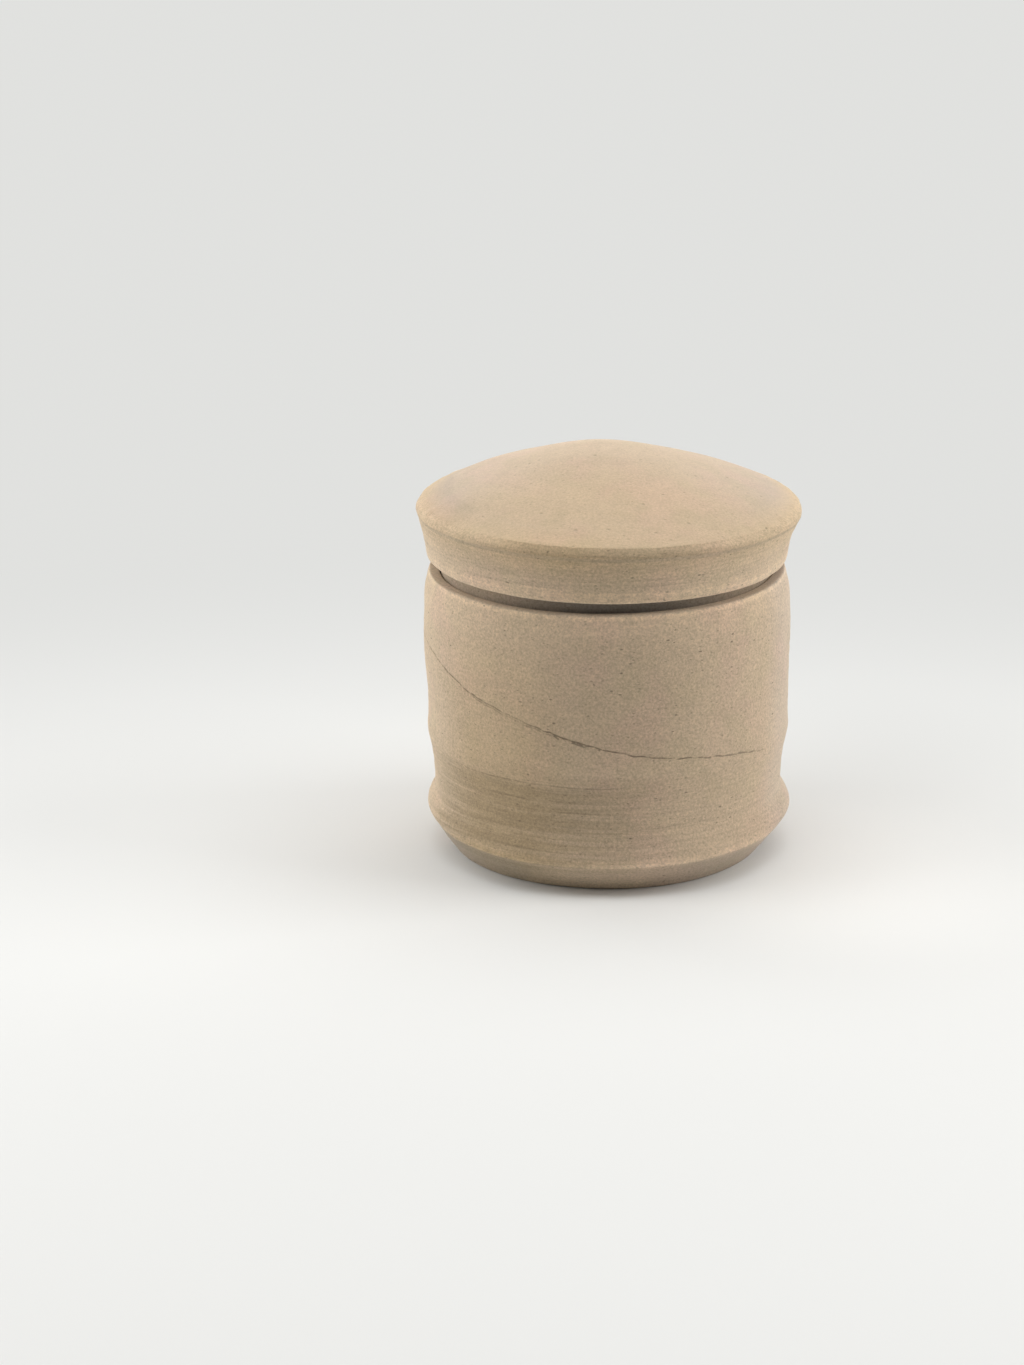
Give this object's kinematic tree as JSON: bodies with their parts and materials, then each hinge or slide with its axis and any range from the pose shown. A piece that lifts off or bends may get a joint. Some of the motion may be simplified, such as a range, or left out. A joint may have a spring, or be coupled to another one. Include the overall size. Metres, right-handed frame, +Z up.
{
  "type": "lidded pyxis box",
  "caption": "Round hand-thrown box of unglazed clay with a low domed lid that lifts off; the lid's collar drops into the mouth and stands on a ledge inside the rim.",
  "frame": {"origin": "middle of the foot, on the plane that the box stands on", "axes": "+Z up along the axis that the box was thrown round; +X and +Y are any two level directions"},
  "size_m": [0.113, 0.113, 0.1206],
  "materials": {
    "clay": "unglazed, matt, fine grog and throwing lines"
  },
  "bodies": {
    "pot": {"pot": "clay"},
    "lid": {"lid": "clay"}
  },
  "joints": [
    {"name": "lid_lift", "type": "slide", "parent": "pot", "child": "lid", "axis": [0, 0, 1], "range_m": [0, 0.09]}
  ]
}
